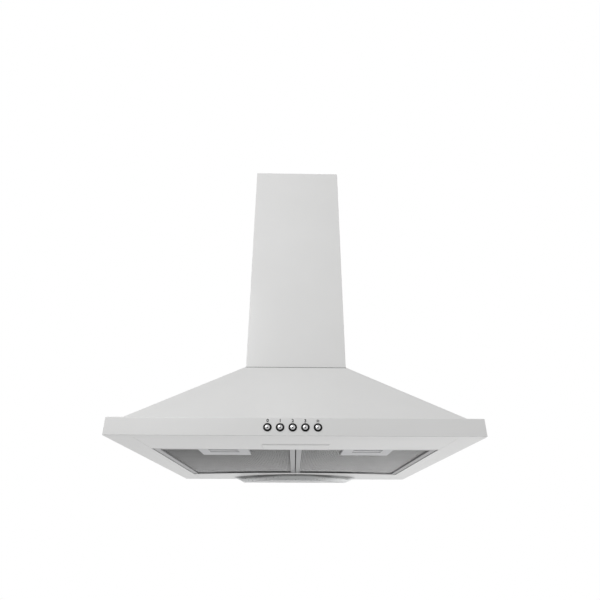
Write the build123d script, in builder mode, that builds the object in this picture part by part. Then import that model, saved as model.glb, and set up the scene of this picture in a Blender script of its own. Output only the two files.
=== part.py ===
from build123d import *

import os
from math import cos, hypot, radians, sin

os.makedirs("parts", exist_ok=True)

# Chimney range hood that hangs on a wall.
# X runs to the right as seen from the front, Y runs towards the wall and Z runs up.
# The origin lies on the wall, midway between the two hanging slots. Lengths are in mm, angles in degrees.

# ---------------------------------------------------------------- driving dimensions
hood_width = 600
hood_depth = 500
skirt_height = 30
canopy_height = 217.5
chimney_width = 232
chimney_depth = 268
chimney_height = 615.5
hang_height = 150

sheet = 1.0
bend_radius = 1.5
seat_gap = 0.3
panel_gap = 0.5
running = 0.05
ledge = 13.5
seat_margin = 3
seat_step = 1.6
seat_groove = 2.5
seat_rim = 12

side_strip = 43
front_return = 12
front_strip = 96.5
front_bow = 3
rear_strip = 88
rear_bow = 27
joggle = 8
lip_height = 7

# levels
z_bottom = -hang_height
z_floor = z_bottom + sheet
z_skirt_top = z_bottom + skirt_height
z_top = z_bottom + canopy_height
z_seat = z_top + seat_step
z_chimney_top = z_seat + chimney_height

# half widths and depths of the pyramid
half_width = hood_width / 2
base_half = half_width - ledge
base_depth = hood_depth - ledge
top_half = chimney_width / 2 + seat_margin
top_depth = chimney_depth + seat_margin
pyramid_rise = canopy_height - skirt_height
side_run = (base_half - top_half) / pyramid_rise
front_run = (base_depth - top_depth) / pyramid_rise
side_wall = sheet * hypot(1, side_run)
front_wall = sheet * hypot(1, front_run)


def save(builder, label):
    """Labels a finished piece and writes its STEP file."""
    builder.part.label = label
    export_step(builder.part, f"parts/{label}.step")


def wall_rectangle(half, depth, mode=Mode.ADD):
    """A rectangle centred on X that reaches from the wall to the given depth."""
    Rectangle(2 * half, depth, align=(Align.CENTER, Align.MAX), mode=mode)


def span_rectangle(x_low, x_high, y_low, y_high, mode=Mode.ADD):
    """A rectangle between two corners of the sketch plane."""
    with Locations(((x_low + x_high) / 2, (y_low + y_high) / 2)):
        Rectangle(x_high - x_low, y_high - y_low, mode=mode)


def pyramid_half(z):
    """Half width of the outer pyramid at a height."""
    return base_half - side_run * (z - z_skirt_top)


def pyramid_depth(z):
    """Depth of the outer pyramid from the wall at a height."""
    return base_depth - front_run * (z - z_skirt_top)


def on_level(z):
    """A horizontal plane at a height."""
    return Plane.XY.offset(z)


def facing_front(x, y, z):
    """A plane square to Y, seen from the front, with its origin at a point."""
    return Plane(origin=(x, y, z), x_dir=(1, 0, 0), z_dir=(0, -1, 0))


def across(x, y, z):
    """A plane square to X with Y to its right and Z up, with its origin at a point."""
    return Plane(origin=(x, y, z), x_dir=(0, 1, 0), z_dir=(1, 0, 0))


# ---------------------------------------------------------------- controls: shared sizes
button_count = 5
button_pitch = 19.8
button_centre = -5.5
button_height = 14
bezel_radius = 6.7
bezel_proud = 1.2
bezel_neck = 5.4
bezel_bore = 4.6
button_radius = 4.4
button_proud = 2.7
button_travel = 3.0

y_skirt = -hood_depth
y_skirt_inner = y_skirt + sheet
z_button = z_bottom + button_height
y_switch = y_skirt_inner + seat_gap
switch_depth = 36
switch_margin = 11
switch_half = button_pitch * (button_count - 1) / 2 + switch_margin
switch_rise = 11

# ---------------------------------------------------------------- blower: shared sizes
fan_y = -160
fan_height = 135
fan_radius = 70
fan_half_width = 50
scroll_start = 76
scroll_end = 103
scroll_wall = 2
scroll_half_width = 60
tongue_turn = 20
scroll_turn = 270
z_fan = z_bottom + fan_height
z_neck_top = z_top
opening_gap = 2
screw_radius = 2.0
screw_hole = 2.2
head_radius = 3.8
head_height = 2.2

y_neck_front = fan_y - (scroll_start + (scroll_end - scroll_start) * tongue_turn / scroll_turn) * sin(
    radians(tongue_turn)
)
y_neck_front = y_neck_front - scroll_wall
y_neck_rear = fan_y + scroll_end + scroll_wall
collar_y = (y_neck_front + y_neck_rear) / 2
collar_radius = 60
collar_wall = 2
collar_height = 48
collar_flange = 2
collar_margin = 12
ear_reach = 20
flange_half = scroll_half_width + ear_reach
ear_width = 16
ear_thick = 3
ear_pitch = 90
blower_screw_x = scroll_half_width + ear_reach / 2

# ---------------------------------------------------------------- canopy shell
with BuildPart() as canopy_shell:
    with BuildSketch(on_level(z_bottom)):
        wall_rectangle(half_width, hood_depth)
    extrude(amount=skirt_height)
    fillet(canopy_shell.edges().filter_by(lambda edge: edge.center().Y < -sheet), bend_radius)
    with BuildSketch(on_level(z_skirt_top)):
        wall_rectangle(base_half, base_depth)
    with BuildSketch(on_level(z_top)):
        wall_rectangle(top_half, top_depth)
    loft()
    hips = canopy_shell.edges().filter_by(
        lambda edge: edge.center().Z > z_skirt_top + sheet and edge.center().Y < -sheet
    )
    fillet(hips, bend_radius)
    # inside of the skirt, above the bottom returns and below the ledge
    with BuildSketch(on_level(z_floor)):
        wall_rectangle(half_width - sheet, hood_depth - sheet)
    extrude(amount=skirt_height - 2 * sheet, mode=Mode.SUBTRACT)
    # inside of the pyramid
    for level in (z_skirt_top - sheet, z_top - sheet):
        with BuildSketch(on_level(level)):
            wall_rectangle(pyramid_half(level) - side_wall, pyramid_depth(level) - front_wall)
    loft(mode=Mode.SUBTRACT)
    # underside opening between the side strips
    with BuildSketch(on_level(z_bottom)):
        wall_rectangle(half_width - side_strip, hood_depth - front_return)
    extrude(amount=sheet, mode=Mode.SUBTRACT)
    # top plate: opening for the blower neck and its screw holes
    with BuildSketch(on_level(z_top - sheet)):
        span_rectangle(
            -scroll_half_width - opening_gap,
            scroll_half_width + opening_gap,
            y_neck_front - opening_gap,
            y_neck_rear + opening_gap,
        )
        with Locations((0, collar_y)):
            with GridLocations(2 * blower_screw_x, ear_pitch, 2, 2):
                Circle(screw_hole)
    extrude(amount=sheet, mode=Mode.SUBTRACT)
    # raised rim that carries the chimney and leaves the shadow groove around its foot
    with BuildSketch(on_level(z_top)):
        wall_rectangle(chimney_width / 2 - seat_groove, chimney_depth - seat_groove)
        wall_rectangle(
            chimney_width / 2 - seat_groove - seat_rim,
            chimney_depth - seat_groove - seat_rim,
            mode=Mode.SUBTRACT,
        )
    extrude(amount=seat_step)
    # holes for the button bezels
    with BuildSketch(facing_front(button_centre, y_skirt, z_button)):
        with GridLocations(button_pitch, 1, button_count, 1):
            Circle(bezel_neck + running)
    extrude(amount=-sheet, mode=Mode.SUBTRACT)
save(canopy_shell, "canopy_shell")

# ---------------------------------------------------------------- back panel with the wall fixings
slot_pitch = 200
slot_length = 20
slot_width = 8
lock_pitch = 400
lock_height = 60
lock_radius = 3

panel_low = z_floor + seat_gap
panel_ledge = z_skirt_top - sheet - seat_gap
panel_high = z_top - sheet - seat_gap
panel_skirt_half = half_width - sheet - seat_gap
panel_base_half = pyramid_half(panel_ledge) - side_wall - seat_gap
panel_top_half = pyramid_half(panel_high) - side_wall - seat_gap

with BuildPart() as back_panel:
    with BuildSketch(facing_front(0, 0, 0)):
        with BuildLine():
            outline = Polyline(
                (0, panel_low),
                (panel_skirt_half, panel_low),
                (panel_skirt_half, panel_ledge),
                (panel_base_half, panel_ledge),
                (panel_top_half, panel_high),
                (0, panel_high),
            )
            mirror(outline, about=Plane.YZ)
        make_face()
        with GridLocations(slot_pitch, 1, 2, 1):
            SlotOverall(slot_length, slot_width, mode=Mode.SUBTRACT)
        with Locations((0, z_bottom + lock_height)):
            with GridLocations(lock_pitch, 1, 2, 1):
                Circle(lock_radius, mode=Mode.SUBTRACT)
    extrude(amount=sheet)
save(back_panel, "back_panel")

# ---------------------------------------------------------------- underside front panel and switch cover
opening_half = half_width - side_strip
front_edge = hood_depth - front_strip
cover_half = 58
cover_length = 36
cover_margin = 1.5
cover_drop = 1.5
access_margin = 8
cover_rear = front_edge + cover_margin
cover_front = cover_rear + cover_length

with BuildPart() as front_panel:
    with BuildSketch(on_level(z_bottom)):
        with BuildLine():
            Polyline(
                (-opening_half + panel_gap, -front_edge),
                (-opening_half + panel_gap, -hood_depth + front_return + panel_gap),
                (opening_half - panel_gap, -hood_depth + front_return + panel_gap),
                (opening_half - panel_gap, -front_edge),
            )
            ThreePointArc(
                (opening_half - panel_gap, -front_edge),
                (0, -front_edge + front_bow),
                (-opening_half + panel_gap, -front_edge),
            )
        make_face()
    extrude(amount=sheet)
    # joggled edge that lies on the canopy's returns
    with BuildSketch(on_level(z_floor)):
        span_rectangle(
            -opening_half - joggle,
            opening_half + joggle,
            -hood_depth + front_return - joggle,
            -front_edge - joggle,
        )
        span_rectangle(
            -opening_half + joggle,
            opening_half - joggle,
            -hood_depth + front_return + joggle,
            -front_edge - joggle,
            mode=Mode.SUBTRACT,
        )
    extrude(amount=sheet)
    # upturned lip along the filter opening
    with BuildSketch(on_level(z_floor)):
        with BuildLine():
            ThreePointArc(
                (opening_half - joggle, -front_edge - sheet),
                (0, -front_edge + front_bow - sheet),
                (-opening_half + joggle, -front_edge - sheet),
            )
            Polyline(
                (-opening_half + joggle, -front_edge - sheet),
                (-opening_half + joggle, -front_edge - 2 * sheet),
            )
            ThreePointArc(
                (-opening_half + joggle, -front_edge - 2 * sheet),
                (0, -front_edge + front_bow - 2 * sheet),
                (opening_half - joggle, -front_edge - 2 * sheet),
            )
            Polyline(
                (opening_half - joggle, -front_edge - 2 * sheet),
                (opening_half - joggle, -front_edge - sheet),
            )
        make_face()
    extrude(amount=lip_height)
    # access hole under the switch
    with BuildSketch(on_level(z_bottom)):
        span_rectangle(
            -cover_half + access_margin,
            cover_half - access_margin,
            -cover_front + access_margin,
            -cover_rear - access_margin,
        )
    extrude(amount=sheet, mode=Mode.SUBTRACT)
save(front_panel, "underside_front_panel")

with BuildPart() as switch_cover:
    with BuildSketch(on_level(z_bottom - cover_drop)):
        span_rectangle(-cover_half, cover_half, -cover_front, -cover_rear)
    extrude(amount=cover_drop)
    fillet(switch_cover.edges().filter_by(Axis.Z), bend_radius)
    chamfer(switch_cover.faces().sort_by(Axis.Z)[0].edges(), sheet)
    with BuildSketch(on_level(z_bottom)):
        span_rectangle(
            -cover_half + access_margin + seat_gap,
            cover_half - access_margin - seat_gap,
            -cover_front + access_margin + seat_gap,
            -cover_rear - access_margin - seat_gap,
        )
    extrude(amount=sheet)
save(switch_cover, "switch_cover")

# ---------------------------------------------------------------- underside rear panel with the lamp opening
rear_edge = rear_strip
lens_opening_half = 142
lens_opening_rear = 42
lens_opening_front = 76

with BuildPart() as rear_panel:
    with BuildSketch(on_level(z_bottom)):
        with BuildLine():
            Polyline(
                (-opening_half + panel_gap, -rear_edge),
                (-opening_half + panel_gap, 0),
                (opening_half - panel_gap, 0),
                (opening_half - panel_gap, -rear_edge),
            )
            ThreePointArc(
                (opening_half - panel_gap, -rear_edge),
                (0, -rear_edge - rear_bow),
                (-opening_half + panel_gap, -rear_edge),
            )
        make_face()
    extrude(amount=sheet)
    # joggled edges that lie on the canopy's side returns
    with BuildSketch(on_level(z_floor)):
        for side in (-1, 1):
            with Locations((side * opening_half, -rear_edge / 2)):
                Rectangle(2 * joggle, rear_edge - 2 * joggle)
    extrude(amount=sheet)
    # D-shaped lamp opening
    with BuildSketch(on_level(z_bottom)):
        with BuildLine():
            Line((-lens_opening_half, -lens_opening_rear), (lens_opening_half, -lens_opening_rear))
            ThreePointArc(
                (lens_opening_half, -lens_opening_rear),
                (0, -lens_opening_front),
                (-lens_opening_half, -lens_opening_rear),
            )
        make_face()
    extrude(amount=sheet, mode=Mode.SUBTRACT)
save(rear_panel, "underside_rear_panel")

# ---------------------------------------------------------------- chimney sections and wall bracket
nest_gap = 0.5
rear_return = 20
foot_flange = 10
upper_drop = 2
vent_count = 7
vent_pitch = 10
vent_length = 34
vent_width = 3.2
vent_spacing = 54
vent_drop = 70
bracket_height = 22
bracket_sheet = 1.5
bracket_reach = 48
bracket_step = 22
bracket_drop = 6
bracket_hole_pitch = 140
bracket_hole_radius = 3
clamp_hole_radius = 2


def chimney_section(half, front, rear, z_low, z_high, back_return):
    """A folded U of sheet, open at the top, with returns along the wall side."""
    with BuildPart() as section:
        with BuildSketch(on_level(z_low)):
            span_rectangle(-half, half, front, rear)
        extrude(amount=z_high - z_low)
        front_corners = section.edges().filter_by(Axis.Z).group_by(Axis.Y)[0]
        fillet(front_corners, bend_radius)
        with BuildSketch(on_level(z_low)):
            span_rectangle(-half + sheet, half - sheet, front + sheet, rear - sheet)
            span_rectangle(-half + back_return, half - back_return, rear - 2 * sheet, rear)
        extrude(amount=z_high - z_low, mode=Mode.SUBTRACT)
    return section


outer_half = chimney_width / 2
outer_inner_half = outer_half - sheet
lower = chimney_section(outer_half, -chimney_depth, 0, z_seat, z_chimney_top, rear_return)
with BuildPart() as chimney_lower:
    add(lower.part)
    # inward foot flange that stands on the canopy's rim
    with BuildSketch(on_level(z_seat)):
        span_rectangle(-outer_inner_half, outer_inner_half, -chimney_depth + sheet, -sheet)
        span_rectangle(
            -outer_inner_half + foot_flange,
            outer_inner_half - foot_flange,
            -chimney_depth + sheet + foot_flange,
            -sheet,
            mode=Mode.SUBTRACT,
        )
    extrude(amount=sheet)
save(chimney_lower, "chimney_lower")

upper_half = outer_inner_half - nest_gap
upper_front = -chimney_depth + sheet + nest_gap
upper_rear = -sheet - nest_gap
z_upper_low = z_seat + sheet + seat_gap
z_upper_top = z_chimney_top - upper_drop
z_bracket = z_upper_top - bracket_drop - bracket_height
z_clamp = z_bracket + bracket_height / 2
y_clamp = upper_rear - bracket_step - (bracket_reach - bracket_step) / 2
upper = chimney_section(upper_half, upper_front, upper_rear, z_upper_low, z_upper_top, rear_return)
with BuildPart() as chimney_upper:
    add(upper.part)
    vent_z = z_upper_top - vent_drop - vent_pitch * (vent_count - 1) / 2
    vent_y = (upper_front + upper_rear) / 2
    with BuildSketch(across(0, vent_y, vent_z)):
        with GridLocations(vent_spacing, vent_pitch, 2, vent_count):
            Rectangle(vent_length, vent_width)
    extrude(amount=chimney_width, both=True, mode=Mode.SUBTRACT)
    with BuildSketch(across(0, y_clamp, z_clamp)):
        Circle(clamp_hole_radius)
    extrude(amount=chimney_width, both=True, mode=Mode.SUBTRACT)
save(chimney_upper, "chimney_upper")

ear_half = upper_half - rear_return - nest_gap
clamp_half = upper_half - sheet - running
with BuildPart() as chimney_bracket:
    with BuildSketch(on_level(z_bracket)):
        span_rectangle(-ear_half, ear_half, -bracket_sheet, 0)
        for side in (-1, 1):
            inner = side * (ear_half - bracket_sheet / 2)
            outer = side * (clamp_half - bracket_sheet / 2)
            with Locations((inner, upper_rear / 2 - bracket_step / 2)):
                Rectangle(bracket_sheet, bracket_step - upper_rear)
            with Locations(((inner + outer) / 2, upper_rear - bracket_step + bracket_sheet / 2)):
                Rectangle(abs(outer - inner) + bracket_sheet, bracket_sheet)
            with Locations((outer, upper_rear - (bracket_step + bracket_reach) / 2)):
                Rectangle(bracket_sheet, bracket_reach - bracket_step)
    extrude(amount=bracket_height)
    with BuildSketch(facing_front(0, 0, z_clamp)):
        with GridLocations(bracket_hole_pitch, 1, 2, 1):
            Circle(bracket_hole_radius)
    extrude(amount=bracket_sheet, mode=Mode.SUBTRACT)
    with BuildSketch(across(0, y_clamp, z_clamp)):
        Circle(clamp_hole_radius)
    extrude(amount=chimney_width, both=True, mode=Mode.SUBTRACT)
save(chimney_bracket, "chimney_bracket")

# ---------------------------------------------------------------- blower housing
inlet_radius = 56
ring_radius = 70
half_seam = 0.15
seam_flange = 4
seam_flange_thick = 2


def spiral_point(turn, extra):
    """A point of the scroll's spiral: its radius grows evenly as it turns from the top over the front."""
    radius = scroll_start + (scroll_end - scroll_start) * turn / scroll_turn + extra
    return (-radius * sin(radians(turn)), radius * cos(radians(turn)))


def scroll_face(extra, top):
    """The scroll's outline: four arcs along the spiral and the straight neck up to a level."""
    arcs = 4
    stride = (scroll_turn - tongue_turn) / arcs
    turns = [tongue_turn + stride * index for index in range(arcs + 1)]
    first = spiral_point(turns[0], extra)
    last = spiral_point(turns[-1], extra)
    with BuildLine() as outline:
        for start, end in zip(turns, turns[1:]):
            middle = (start + end) / 2
            ThreePointArc(spiral_point(start, extra), spiral_point(middle, extra), spiral_point(end, extra))
        Polyline(last, (last[0], top), (first[0], top), first)
    make_face(outline.edges())


def housing_half(side):
    """One half of the scroll housing, from the seam plane out to one side."""
    seam = side * half_seam
    depth = scroll_half_width - half_seam
    with BuildPart() as half:
        with BuildSketch(across(seam, fan_y, z_fan)):
            scroll_face(scroll_wall, z_neck_top - z_fan)
        extrude(amount=side * depth)
        # flange along the seam, which ends below the canopy's top plate
        with BuildSketch(across(seam, fan_y, z_fan)):
            scroll_face(scroll_wall + seam_flange, z_top - sheet - seat_gap - z_fan)
        extrude(amount=side * seam_flange_thick)
        with BuildSketch(across(seam, fan_y, z_fan)):
            scroll_face(0, z_neck_top - z_fan + scroll_wall)
        extrude(amount=side * (depth - scroll_wall), mode=Mode.SUBTRACT)
        with BuildSketch(across(side * (scroll_half_width - scroll_wall), fan_y, z_fan)):
            Circle(inlet_radius)
        extrude(amount=side * scroll_wall, mode=Mode.SUBTRACT)
        # ears under the canopy's top plate
        with BuildSketch(on_level(z_top - sheet - seat_gap)):
            with Locations((side * blower_screw_x, collar_y)):
                with GridLocations(1, ear_pitch, 1, 2):
                    Rectangle(ear_reach, ear_width)
                    Circle(screw_radius + running, mode=Mode.SUBTRACT)
        extrude(amount=-ear_thick)
    return half


for side, label in ((-1, "blower_housing_left"), (1, "blower_housing_right")):
    save(housing_half(side), label)

bell = 8
throat_radius = inlet_radius - 4
x_ring = -scroll_half_width - scroll_wall
x_throat = x_ring + bell
with BuildPart() as inlet_ring:
    with BuildSketch(Plane.XY):
        with BuildLine():
            Polyline(
                (-scroll_half_width, ring_radius),
                (x_ring, ring_radius),
                (x_ring, throat_radius + bell),
                (x_throat - bell * sin(radians(45)), throat_radius + bell - bell * sin(radians(45))),
                (x_throat, throat_radius),
                (x_throat + scroll_wall, throat_radius),
                (x_throat + scroll_wall, throat_radius + scroll_wall),
                (-scroll_half_width + scroll_wall, inlet_radius - running),
                (-scroll_half_width, inlet_radius - running),
                (-scroll_half_width, ring_radius),
            )
        make_face()
    revolve(axis=Axis.X)
inlet_ring.part = inlet_ring.part.moved(Location((0, fan_y, z_fan)))
save(inlet_ring, "inlet_ring")

# ---------------------------------------------------------------- motor, bracket, shaft and fan wheel
motor_radius = 40
motor_inner_x = 2
motor_nose = 6
motor_nose_radius = 28
motor_shoulder = 14
motor_back = 8
motor_outer_x = scroll_half_width + scroll_wall
shaft_radius = 4
shaft_proud = 6
shaft_clear = 2
hub_radius = 9
disc_x = -2
disc_thick = 2
hub_length = 22
shaft_inner_x = disc_x - disc_thick - hub_length
shaft_outer_x = motor_outer_x + shaft_proud
blade_count = 30
blade_inner = 58
blade_outer = 69.4
blade_turn = 11
blade_bulge_turn = 3.5
blade_wrap_turn = 1.2
rim_thick = 2
rim_inner = 57.5
bracket_hub = 24
arm_width = 12
arm_count = 3
bracket_ring_inner = inlet_radius + 1

with BuildPart() as motor_body:
    with BuildSketch(Plane.XY):
        with BuildLine():
            Polyline(
                (motor_inner_x, 0),
                (motor_inner_x, hub_radius),
                (motor_inner_x + motor_nose, hub_radius),
                (motor_inner_x + motor_nose, motor_nose_radius),
                (motor_inner_x + motor_shoulder, motor_radius),
                (motor_outer_x - motor_back, motor_radius),
                (motor_outer_x, bracket_hub),
                (motor_outer_x, 0),
                (motor_inner_x, 0),
            )
        make_face()
    revolve(axis=Axis.X)
    with BuildSketch(Plane.YZ):
        Circle(shaft_radius + running)
    extrude(amount=motor_outer_x + 1, mode=Mode.SUBTRACT)
motor_body.part = motor_body.part.moved(Location((0, fan_y, z_fan)))
save(motor_body, "motor_body")

with BuildPart() as motor_bracket:
    with BuildSketch(across(scroll_half_width, fan_y, z_fan)):
        Circle(ring_radius)
        Circle(bracket_ring_inner, mode=Mode.SUBTRACT)
    extrude(amount=scroll_wall)
    with BuildSketch(across(motor_outer_x, fan_y, z_fan)):
        Circle(bracket_hub)
        with PolarLocations(ring_radius / 2, arm_count):
            Rectangle(ring_radius - running, arm_width)
        Circle(shaft_radius + shaft_clear, mode=Mode.SUBTRACT)
    extrude(amount=scroll_wall)
save(motor_bracket, "motor_bracket")

with BuildPart() as motor_shaft:
    with BuildSketch(across(shaft_inner_x, fan_y, z_fan)):
        Circle(shaft_radius)
    extrude(amount=shaft_outer_x - shaft_inner_x)
    chamfer(motor_shaft.edges().filter_by(GeomType.CIRCLE), shaft_radius / 8)
save(motor_shaft, "motor_shaft")


def polar(radius, angle):
    """A point of the fan's plane at a radius and an angle."""
    return (radius * cos(radians(angle)), radius * sin(radians(angle)))


with BuildSketch() as blade:
    middle_radius = (blade_inner + blade_outer) / 2
    middle_turn = blade_turn / 2 - blade_bulge_turn
    with BuildLine():
        Polyline(
            polar(blade_inner, 0),
            polar(middle_radius, middle_turn),
            polar(blade_outer, blade_turn),
            polar(blade_outer, blade_turn + blade_wrap_turn),
            polar(middle_radius, middle_turn + blade_wrap_turn),
            polar(blade_inner, blade_wrap_turn),
            polar(blade_inner, 0),
        )
    make_face()

# disc with its hub, driven by the shaft
with BuildPart() as fan_wheel:
    with BuildSketch(across(disc_x, fan_y, z_fan)):
        Circle(fan_radius)
    extrude(amount=-disc_thick)
    with BuildSketch(across(disc_x - disc_thick, fan_y, z_fan)):
        Circle(hub_radius)
    extrude(amount=-hub_length)
    with BuildSketch(across(disc_x, fan_y, z_fan)):
        Circle(shaft_radius + running / 2)
    extrude(amount=-hub_length - disc_thick, mode=Mode.SUBTRACT)
save(fan_wheel, "fan_wheel")

# one cage of blades on each side of the disc, each closed by a rim at its open end
cages = ((disc_x - disc_thick, -fan_half_width), (disc_x, fan_half_width))
with BuildPart() as fan_blades:
    for x_disc, x_end in cages:
        outward = 1 if x_end > x_disc else -1
        with BuildSketch(across(x_disc, fan_y, z_fan)):
            with PolarLocations(0, blade_count):
                add(blade.sketch)
        extrude(amount=x_end - x_disc - outward * rim_thick)
        with BuildSketch(across(x_end, fan_y, z_fan)):
            Circle(fan_radius)
            Circle(rim_inner, mode=Mode.SUBTRACT)
        extrude(amount=-outward * rim_thick)
save(fan_blades, "fan_blades")

# ---------------------------------------------------------------- duct collar and non-return flaps
z_flange = z_top + seat_gap
z_collar_low = z_flange + collar_flange
pin_radius = 2
pin_height = 14
flap_thick = 1.2
flap_clear = 1.0
knuckle_radius = 3.4
knuckle_gap = 1.0
flap_edge = 4.0
stop_ring = 2.5
stop_thick = 1.5
z_pin = z_collar_low + pin_height
collar_inner = collar_radius - collar_wall
flap_radius = collar_inner - flap_clear
knuckle_reach = collar_inner - stop_ring - knuckle_gap
knuckle_length = (2 * knuckle_reach - 3 * knuckle_gap) / 4
collar_origin = Location((0, collar_y, 0))

with BuildPart() as duct_collar:
    with BuildSketch(on_level(z_flange).moved(collar_origin)):
        RectangleRounded(2 * flange_half, y_neck_rear - y_neck_front + 2 * collar_margin, collar_margin / 2)
        Circle(collar_inner, mode=Mode.SUBTRACT)
        with GridLocations(2 * blower_screw_x, ear_pitch, 2, 2):
            Circle(screw_hole, mode=Mode.SUBTRACT)
    extrude(amount=collar_flange)
    with BuildSketch(on_level(z_collar_low).moved(collar_origin)):
        Circle(collar_radius)
        Circle(collar_inner, mode=Mode.SUBTRACT)
    extrude(amount=collar_height)
    z_stop = z_pin - flap_thick / 2 - seat_gap
    with BuildSketch(on_level(z_stop).moved(collar_origin)):
        Circle(collar_inner)
        Circle(collar_inner - stop_ring, mode=Mode.SUBTRACT)
    extrude(amount=-stop_thick)
    with BuildSketch(across(0, collar_y, z_pin)):
        Circle(pin_radius + running / 2)
    extrude(amount=collar_radius + 1, both=True, mode=Mode.SUBTRACT)
save(duct_collar, "duct_collar")

with BuildPart() as flap_pin:
    with BuildSketch(across(0, collar_y, z_pin)):
        Circle(pin_radius)
    extrude(amount=collar_radius - seat_gap, both=True)
save(flap_pin, "flap_pin")


def flap(side):
    """One half-round flap; its two knuckles alternate on the pin with those of the other flap."""
    first = -knuckle_reach if side < 0 else -knuckle_reach + knuckle_length + knuckle_gap
    starts = [first, first + 2 * (knuckle_length + knuckle_gap)]
    with BuildPart() as piece:
        with BuildSketch(on_level(z_pin - flap_thick / 2).moved(collar_origin)):
            Circle(flap_radius)
            with Locations((0, side * (flap_edge - flap_radius))):
                Rectangle(2 * flap_radius, 2 * flap_radius, mode=Mode.SUBTRACT)
            for start in starts:
                with Locations((start + knuckle_length / 2, side * flap_edge / 2)):
                    Rectangle(knuckle_length, flap_edge + knuckle_gap)
        extrude(amount=flap_thick)
        for start in starts:
            with BuildSketch(across(start, collar_y, z_pin)):
                Circle(knuckle_radius)
            extrude(amount=knuckle_length)
        with BuildSketch(across(0, collar_y, z_pin)):
            Circle(pin_radius + running)
        extrude(amount=collar_radius, both=True, mode=Mode.SUBTRACT)
    return piece


for side, label in ((-1, "flap_front"), (1, "flap_rear")):
    save(flap(side), label)

screw_length = 10
with BuildPart() as blower_screws:
    with BuildSketch(on_level(z_collar_low).moved(collar_origin)):
        with GridLocations(2 * blower_screw_x, ear_pitch, 2, 2):
            Circle(screw_radius)
    extrude(amount=-screw_length)
    with BuildSketch(on_level(z_collar_low).moved(collar_origin)):
        with GridLocations(2 * blower_screw_x, ear_pitch, 2, 2):
            RegularPolygon(head_radius, 6)
    extrude(amount=head_height)
save(blower_screws, "blower_screws")

# ---------------------------------------------------------------- push-button switch
button_xs = [button_centre + button_pitch * (index - (button_count - 1) / 2) for index in range(button_count)]
stem_radius = 3
stem_length = 26
stem_clear = 1
dome_height = 1.6
dome_shoulder = 3.3
dome_shoulder_drop = 0.5
dimple_radius = 1.4
dimple_depth = 0.35
cap_entry = 0.2
bore_floor = 2
switch_rib = 4
y_button_tip = y_skirt - button_proud
y_button_rim = y_button_tip + dome_height
y_button_back = y_switch + cap_entry
strap_sheet = 1.5
strap_foot = 10
strap_rise = 6

with BuildPart() as switch_body:
    with BuildSketch(facing_front(button_centre, y_switch, z_button)):
        Rectangle(2 * switch_half, 2 * switch_rise)
    extrude(amount=-switch_depth)
    with BuildSketch(facing_front(button_centre, y_switch, z_button)):
        with GridLocations(button_pitch, 1, button_count, 1):
            Circle(bezel_bore)
    extrude(amount=-button_travel - bore_floor, mode=Mode.SUBTRACT)
    with BuildSketch(facing_front(button_centre, y_switch, z_button)):
        with GridLocations(button_pitch, 1, button_count, 1):
            Circle(stem_radius + running)
    extrude(amount=-stem_length - button_travel - stem_clear, mode=Mode.SUBTRACT)
    # terminal ribs at the back
    with BuildSketch(facing_front(button_centre, y_switch + switch_depth, z_button)):
        with GridLocations(button_pitch, 1, button_count, 1):
            Rectangle(button_radius, switch_rise)
    extrude(amount=-switch_rib)
save(switch_body, "switch_body")

with BuildPart() as button_bezels:
    with BuildSketch(facing_front(button_centre, y_skirt, z_button)):
        with GridLocations(button_pitch, 1, button_count, 1):
            Circle(bezel_radius)
            Circle(bezel_bore, mode=Mode.SUBTRACT)
    extrude(amount=bezel_proud)
    front_circles = button_bezels.edges().group_by(Axis.Y)[0].filter_by(GeomType.CIRCLE)
    chamfer(front_circles.filter_by(lambda edge: edge.radius > bezel_neck), bezel_proud / 2)
    with BuildSketch(facing_front(button_centre, y_skirt, z_button)):
        with GridLocations(button_pitch, 1, button_count, 1):
            Circle(bezel_neck)
            Circle(bezel_bore, mode=Mode.SUBTRACT)
    extrude(amount=-sheet)
save(button_bezels, "button_bezels")


def button(x):
    """A domed cap with a small dimple, on a stem that slides in the switch."""
    with BuildPart() as piece:
        with BuildSketch(on_level(z_button).moved(Location((x, 0, 0)))):
            with BuildLine():
                Polyline(
                    (0, y_button_tip + dimple_depth),
                    (dimple_radius, y_button_tip),
                    (dome_shoulder, y_button_tip + dome_shoulder_drop),
                    (button_radius, y_button_rim),
                    (button_radius, y_button_back),
                    (stem_radius, y_button_back),
                    (stem_radius, y_button_back + stem_length),
                    (0, y_button_back + stem_length),
                    (0, y_button_tip + dimple_depth),
                )
            make_face()
        revolve(axis=Axis((x, 0, z_button), (0, 1, 0)))
    return piece


for index, x in enumerate(button_xs, start=1):
    save(button(x), f"button_{index}")

strap_half = switch_half + seat_gap
y_strap_back = y_switch + switch_depth + switch_rib + seat_gap
with BuildPart() as switch_strap:
    with BuildSketch(on_level(z_button - strap_rise)):
        span_y = y_strap_back + strap_sheet - y_skirt_inner
        for side in (-1, 1):
            x_foot = button_centre + side * (strap_half + strap_foot / 2)
            x_side = button_centre + side * (strap_half + strap_sheet / 2)
            with Locations((x_foot, y_skirt_inner + strap_sheet / 2)):
                Rectangle(strap_foot, strap_sheet)
            with Locations((x_side, y_skirt_inner + span_y / 2)):
                Rectangle(strap_sheet, span_y)
        with Locations((button_centre, y_strap_back + strap_sheet / 2)):
            Rectangle(2 * (strap_half + strap_sheet), strap_sheet)
    extrude(amount=2 * strap_rise)
save(switch_strap, "switch_strap")

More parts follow.
